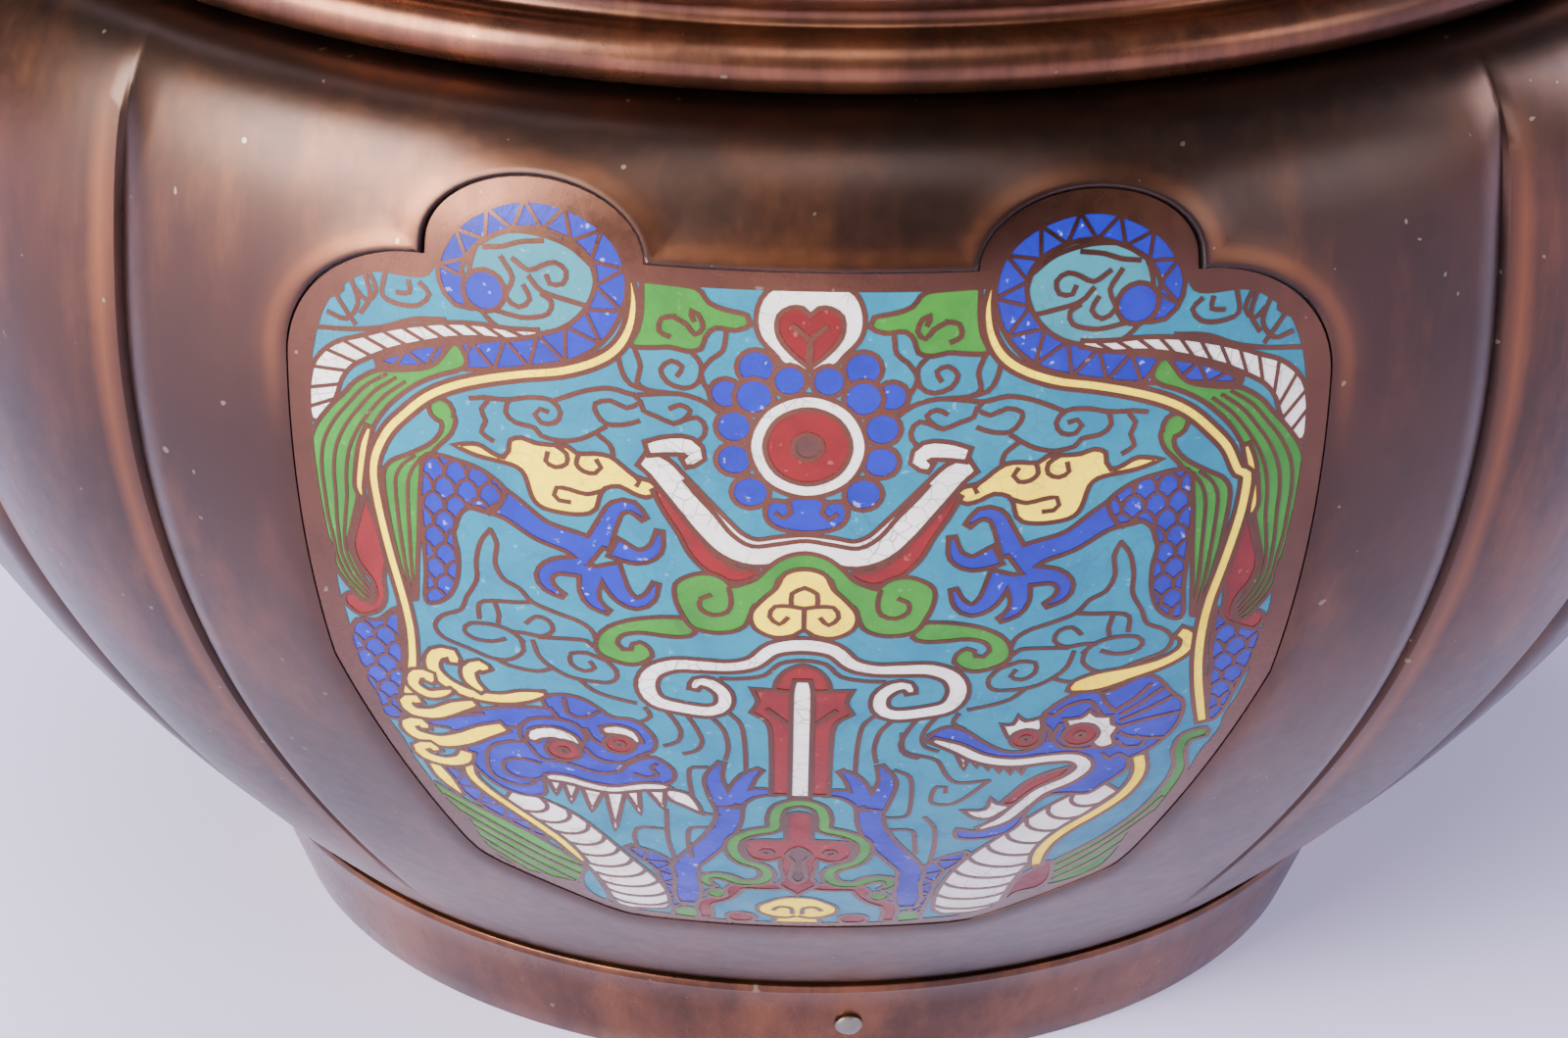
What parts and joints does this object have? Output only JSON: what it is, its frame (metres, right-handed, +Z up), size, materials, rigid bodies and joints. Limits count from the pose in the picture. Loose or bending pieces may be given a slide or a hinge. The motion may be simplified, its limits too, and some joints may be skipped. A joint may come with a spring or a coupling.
{
  "type": "cloisonne cachepot",
  "caption": "Round lobed bronze planter bowl with inset enamel panels, a plain foot ring and a moulded rim, open at the top to hold a potted plant.",
  "frame": {"origin": "centre of the foot ring's underside, where the pot stands", "axes": "+Z up through the mouth, the first enamel panel faces -Y, +X to the right of that panel"},
  "size_m": [0.349, 0.349, 0.2412],
  "materials": {
    "patinated_bronze": "satin",
    "rubbed_bronze": "satin",
    "panel_bronze": "satin",
    "enamel": "gloss",
    "pin_metal": "satin"
  },
  "bodies": {
    "root": {"bowl": "patinated_bronze", "neck_collar": "rubbed_bronze", "foot_ring": "rubbed_bronze", "enamel_panel_1": "panel_bronze", "enamel_panel_2": "panel_bronze", "enamel_panel_3": "panel_bronze", "enamel_panel_4": "panel_bronze", "foot_pin_1": "pin_metal", "foot_pin_2": "pin_metal", "foot_pin_3": "pin_metal"}
  },
  "joints": []
}
